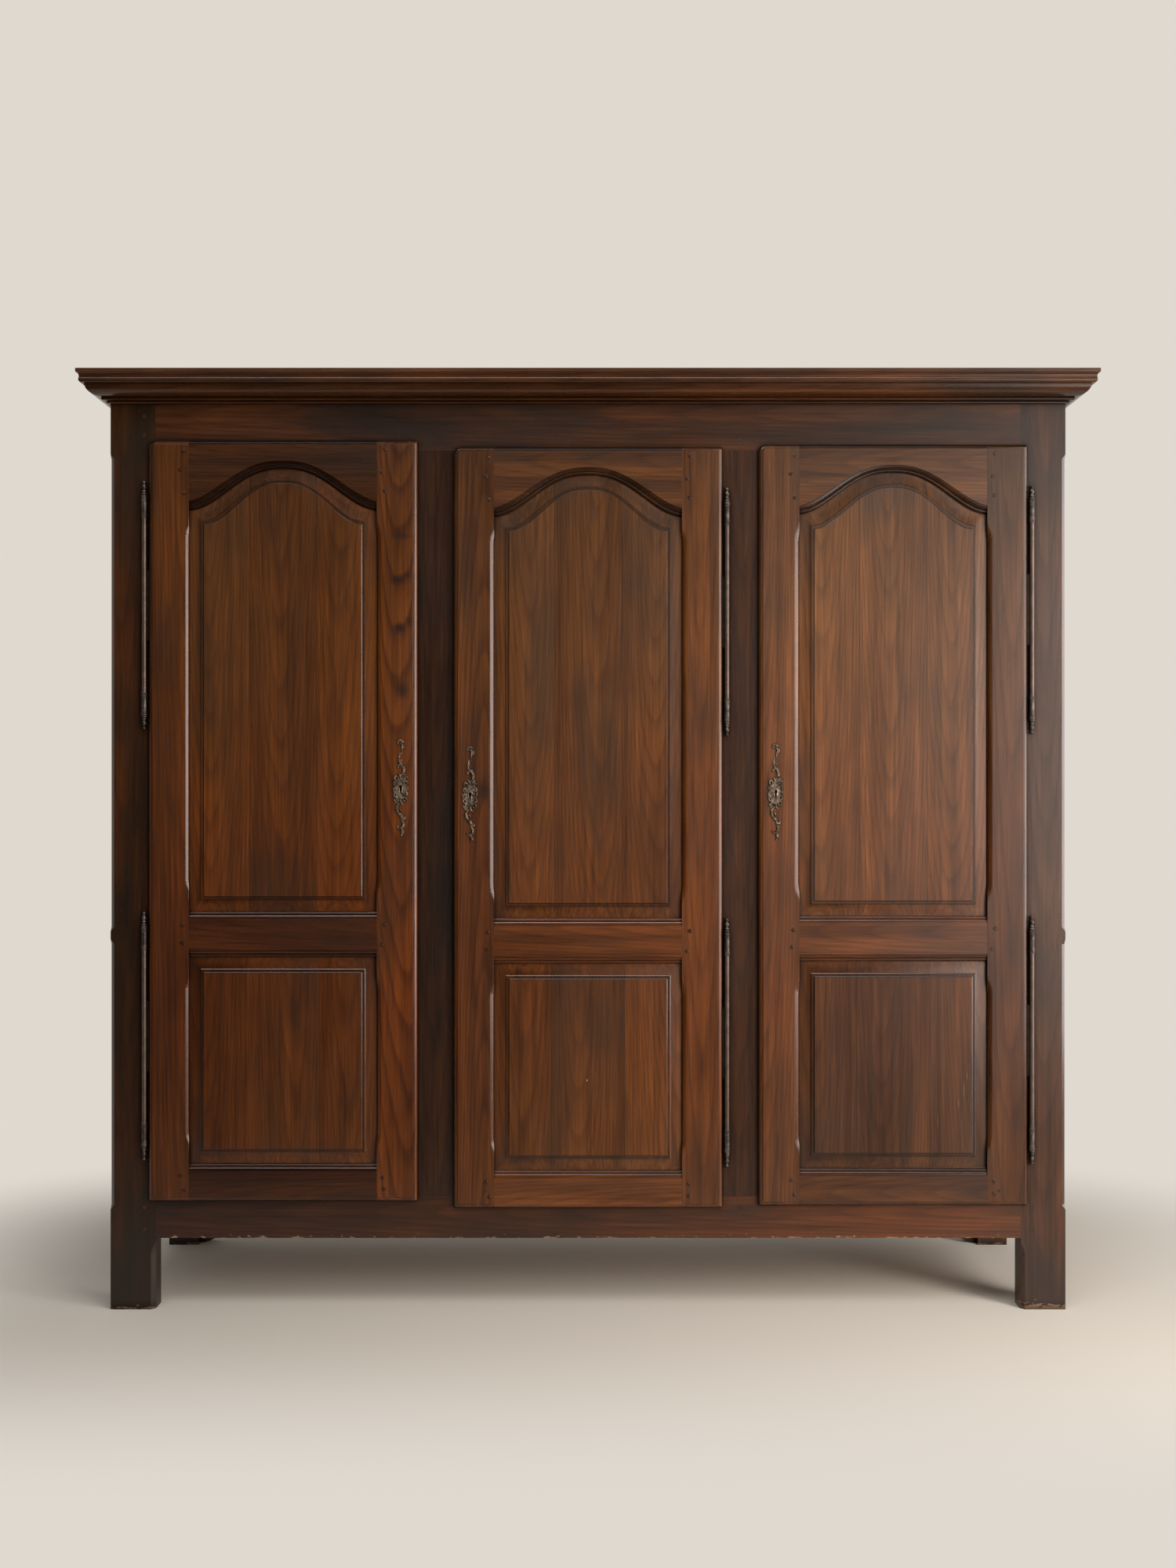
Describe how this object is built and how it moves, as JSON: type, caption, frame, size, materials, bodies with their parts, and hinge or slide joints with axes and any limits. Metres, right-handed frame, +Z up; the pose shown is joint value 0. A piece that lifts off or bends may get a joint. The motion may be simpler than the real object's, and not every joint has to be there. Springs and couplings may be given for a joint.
{
  "type": "wardrobe",
  "caption": "Freestanding wardrobe of dark joined wood with hinged panelled doors under arched rails, a moulded cornice, shelves and a hanging rail inside.",
  "frame": {"origin": "on the floor, under the middle of the whole outline", "axes": "+Z up, doors face -Y, +X to the viewer's right"},
  "size_m": [2.146, 0.608, 1.988],
  "materials": {
    "frame_wood": "dark stained, waxed",
    "door_wood": "dark stained, waxed",
    "door_panel_wood": "dark stained, waxed",
    "side_panel_wood": "dark stained, waxed",
    "inner_wood": "bare, aged",
    "iron": "dark, rubbed",
    "escutcheon_bronze": "aged, dark"
  },
  "bodies": {
    "carcass": {"left_front_post": "frame_wood", "right_front_post": "frame_wood", "left_back_post": "frame_wood", "right_back_post": "frame_wood", "left_mullion": "frame_wood", "right_mullion": "frame_wood", "front_top_rail": "frame_wood", "front_bottom_rail": "frame_wood", "left_side_rails": "frame_wood", "right_side_rails": "frame_wood", "back_rails": "frame_wood", "front_cornice": "frame_wood", "side_cornices": "frame_wood", "frame_pegs": "frame_wood", "left_side_panels": "side_panel_wood", "right_side_panels": "side_panel_wood", "back_boards": "inner_wood", "floor_boards": "inner_wood", "top_boards": "inner_wood", "partition": "inner_wood", "shelves": "inner_wood", "shelf_bearers": "inner_wood", "hanging_rail": "inner_wood", "hinge_knuckles": "iron", "hinge_pins": "iron", "rail_sockets": "iron", "strike_plates": "iron"},
    "left_door": {"left_door_hinge_stile": "door_wood", "left_door_lock_stile": "door_wood", "left_door_top_rail": "door_wood", "left_door_middle_rail": "door_wood", "left_door_bottom_rail": "door_wood", "left_door_upper_panel": "door_panel_wood", "left_door_lower_panel": "door_panel_wood", "left_door_escutcheon": "escutcheon_bronze", "left_door_lock_case": "iron", "left_door_hinge_barrels": "iron"},
    "left_bolt": {"left_door_lock_bolt": "iron"},
    "middle_door": {"middle_door_hinge_stile": "door_wood", "middle_door_lock_stile": "door_wood", "middle_door_top_rail": "door_wood", "middle_door_middle_rail": "door_wood", "middle_door_bottom_rail": "door_wood", "middle_door_upper_panel": "door_panel_wood", "middle_door_lower_panel": "door_panel_wood", "middle_door_escutcheon": "escutcheon_bronze", "middle_door_lock_case": "iron", "middle_door_hinge_barrels": "iron"},
    "middle_bolt": {"middle_door_lock_bolt": "iron"},
    "right_door": {"right_door_hinge_stile": "door_wood", "right_door_lock_stile": "door_wood", "right_door_top_rail": "door_wood", "right_door_middle_rail": "door_wood", "right_door_bottom_rail": "door_wood", "right_door_upper_panel": "door_panel_wood", "right_door_lower_panel": "door_panel_wood", "right_door_escutcheon": "escutcheon_bronze", "right_door_lock_case": "iron", "right_door_hinge_barrels": "iron"},
    "right_bolt": {"right_door_lock_bolt": "iron"}
  },
  "joints": [
    {"name": "left_door_swing", "type": "hinge", "parent": "carcass", "child": "left_door", "pos_m": [-0.942, -0.2525, 1], "axis": [0, 0, -1], "range_deg": [0, 110]},
    {"name": "middle_door_swing", "type": "hinge", "parent": "carcass", "child": "middle_door", "pos_m": [0.295, -0.2525, 1], "axis": [0, 0, 1], "range_deg": [0, 100]},
    {"name": "right_door_swing", "type": "hinge", "parent": "carcass", "child": "right_door", "pos_m": [0.942, -0.2525, 1], "axis": [0, 0, 1], "range_deg": [0, 110]},
    {"name": "left_bolt_slide", "type": "slide", "parent": "left_door", "child": "left_bolt", "axis": [1, 0, 0], "range_m": [0, 0.01]},
    {"name": "middle_bolt_slide", "type": "slide", "parent": "middle_door", "child": "middle_bolt", "axis": [-1, 0, 0], "range_m": [0, 0.01]},
    {"name": "right_bolt_slide", "type": "slide", "parent": "right_door", "child": "right_bolt", "axis": [-1, 0, 0], "range_m": [0, 0.01]}
  ]
}
